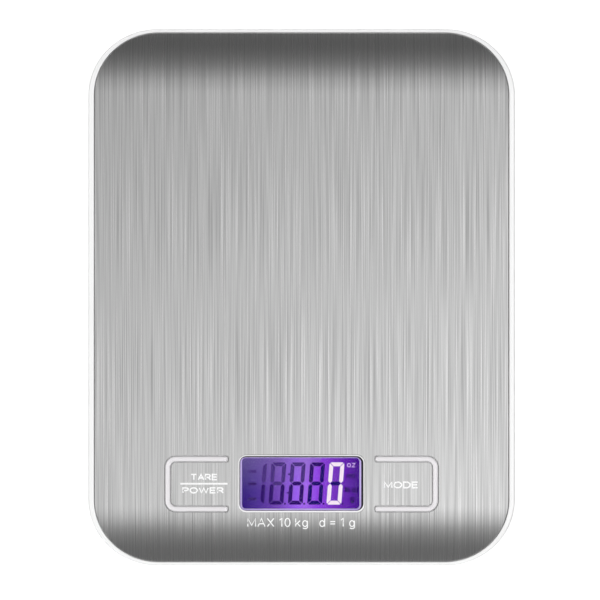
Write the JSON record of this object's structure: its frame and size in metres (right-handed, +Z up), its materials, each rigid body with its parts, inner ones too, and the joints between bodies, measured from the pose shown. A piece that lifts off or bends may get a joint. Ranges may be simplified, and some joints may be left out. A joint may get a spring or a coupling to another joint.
{
  "type": "digital gram scale",
  "caption": "Slim battery-powered digital platform scale with a brushed steel top, two flexing steel buttons and a purple backlit display near the front edge.",
  "frame": {"origin": "on the table, under the centre of the body", "axes": "+Z up, +Y from the display end to the back, +X to the right of a user facing the display"},
  "size_m": [0.18, 0.227, 0.0183],
  "materials": {
    "brushed_steel": "fine straight brushing from front to back",
    "white_shell": "white ABS, semi-gloss outside",
    "inner_plastic": "off-white moulded ABS",
    "ridge_plastic": "glossy white raised ridge",
    "clear_acrylic": "polished clear acrylic",
    "lcd": "purple backlit liquid crystal display with pale lit segments",
    "light_guide": "translucent violet backlight sheet",
    "black_rubber": "black silicone rubber",
    "white_rubber": "soft white non-slip rubber",
    "circuit_board": "green solder mask on glass-fibre board",
    "black_epoxy": "black potting resin and moulded switch housings",
    "spring_steel": "plain spring steel",
    "zinc_screw": "zinc-plated steel screw",
    "silicone": "white silicone over the strain gauge",
    "foam_tape": "double-sided foam tape",
    "battery_sleeve": "printed metal cell jacket, plain blue-grey",
    "red_wire": "red PVC insulation",
    "black_wire": "black PVC insulation"
  },
  "bodies": {
    "scale_body": {"steel_cover": "brushed_steel", "cover_adhesive": "foam_tape", "top_shell": "white_shell", "bottom_shell": "white_shell", "display_lens": "clear_acrylic", "display_bezel": "white_shell", "lcd_panel": "lcd", "backlight_panel": "light_guide", "zebra_connector": "black_rubber", "main_board": "circuit_board", "chip_potting": "black_epoxy", "tare_switch_body": "black_epoxy", "tare_button_ridge": "ridge_plastic", "unit_switch_body": "black_epoxy", "unit_button_ridge": "ridge_plastic", "board_screw_left": "zinc_screw", "board_screw_right": "zinc_screw", "load_cell_front_left": "spring_steel", "strain_gauge_front_left": "silicone", "sensor_clamp_front_left": "inner_plastic", "sensor_cable_front_left": "black_wire", "case_screw_front_left": "zinc_screw", "load_cell_front_right": "spring_steel", "strain_gauge_front_right": "silicone", "sensor_clamp_front_right": "inner_plastic", "sensor_cable_front_right": "black_wire", "case_screw_front_right": "zinc_screw", "load_cell_back_left": "spring_steel", "strain_gauge_back_left": "silicone", "sensor_clamp_back_left": "inner_plastic", "sensor_cable_back_left": "black_wire", "case_screw_back_left": "zinc_screw", "load_cell_back_right": "spring_steel", "strain_gauge_back_right": "silicone", "sensor_clamp_back_right": "inner_plastic", "sensor_cable_back_right": "black_wire", "case_screw_back_right": "zinc_screw", "battery_right_facing": "battery_sleeve", "battery_left_facing": "battery_sleeve", "battery_link_contact": "spring_steel", "battery_spring_contact": "spring_steel", "battery_flat_contact": "spring_steel", "battery_lead_positive": "red_wire", "battery_lead_negative": "black_wire"},
    "tare_button": {"tare_button_tongue": "brushed_steel", "tare_button_pusher": "inner_plastic"},
    "tare_plunger": {"tare_switch_plunger": "black_rubber"},
    "unit_button": {"unit_button_tongue": "brushed_steel", "unit_button_pusher": "inner_plastic"},
    "unit_plunger": {"unit_switch_plunger": "black_rubber"},
    "foot_front_left": {"foot_pad_front_left": "white_rubber", "foot_cup_front_left": "inner_plastic"},
    "foot_front_right": {"foot_pad_front_right": "white_rubber", "foot_cup_front_right": "inner_plastic"},
    "foot_back_left": {"foot_pad_back_left": "white_rubber", "foot_cup_back_left": "inner_plastic"},
    "foot_back_right": {"foot_pad_back_right": "white_rubber", "foot_cup_back_right": "inner_plastic"},
    "battery_door": {"battery_door": "white_shell"}
  },
  "joints": [
    {"name": "tare_button_press", "type": "hinge", "parent": "scale_body", "child": "tare_button", "pos_m": [-0.03125, -0.0788, 0.01775], "axis": [0, -1, 0], "range_deg": [0, 1], "stiffness_Nm_per_rad": 4},
    {"name": "tare_plunger_travel", "type": "slide", "parent": "scale_body", "child": "tare_plunger", "axis": [0, 0, -1], "range_m": [0, 0.00025]},
    {"name": "unit_button_press", "type": "hinge", "parent": "scale_body", "child": "unit_button", "pos_m": [0.03125, -0.0788, 0.01775], "axis": [0, 1, 0], "range_deg": [0, 1], "stiffness_Nm_per_rad": 4},
    {"name": "unit_plunger_travel", "type": "slide", "parent": "scale_body", "child": "unit_plunger", "axis": [0, 0, -1], "range_m": [0, 0.00025]},
    {"name": "foot_travel_front_left", "type": "slide", "parent": "scale_body", "child": "foot_front_left", "axis": [0, 0, 1], "range_m": [0, 0.0003], "stiffness_N_per_m": 300},
    {"name": "foot_travel_front_right", "type": "slide", "parent": "scale_body", "child": "foot_front_right", "axis": [0, 0, 1], "range_m": [0, 0.0003], "stiffness_N_per_m": 300},
    {"name": "foot_travel_back_left", "type": "slide", "parent": "scale_body", "child": "foot_back_left", "axis": [0, 0, 1], "range_m": [0, 0.0003], "stiffness_N_per_m": 300},
    {"name": "foot_travel_back_right", "type": "slide", "parent": "scale_body", "child": "foot_back_right", "axis": [0, 0, 1], "range_m": [0, 0.0003], "stiffness_N_per_m": 300},
    {"name": "battery_door_hinge", "type": "hinge", "parent": "scale_body", "child": "battery_door", "pos_m": [0, 0.0253, 0.0031], "axis": [1, 0, 0], "range_deg": [0, 95]}
  ],
  "couplings": [
    {"joint": "tare_plunger_travel", "follows": "tare_button_press", "m_per_rad": 0.0127},
    {"joint": "unit_plunger_travel", "follows": "unit_button_press", "m_per_rad": 0.0127}
  ]
}
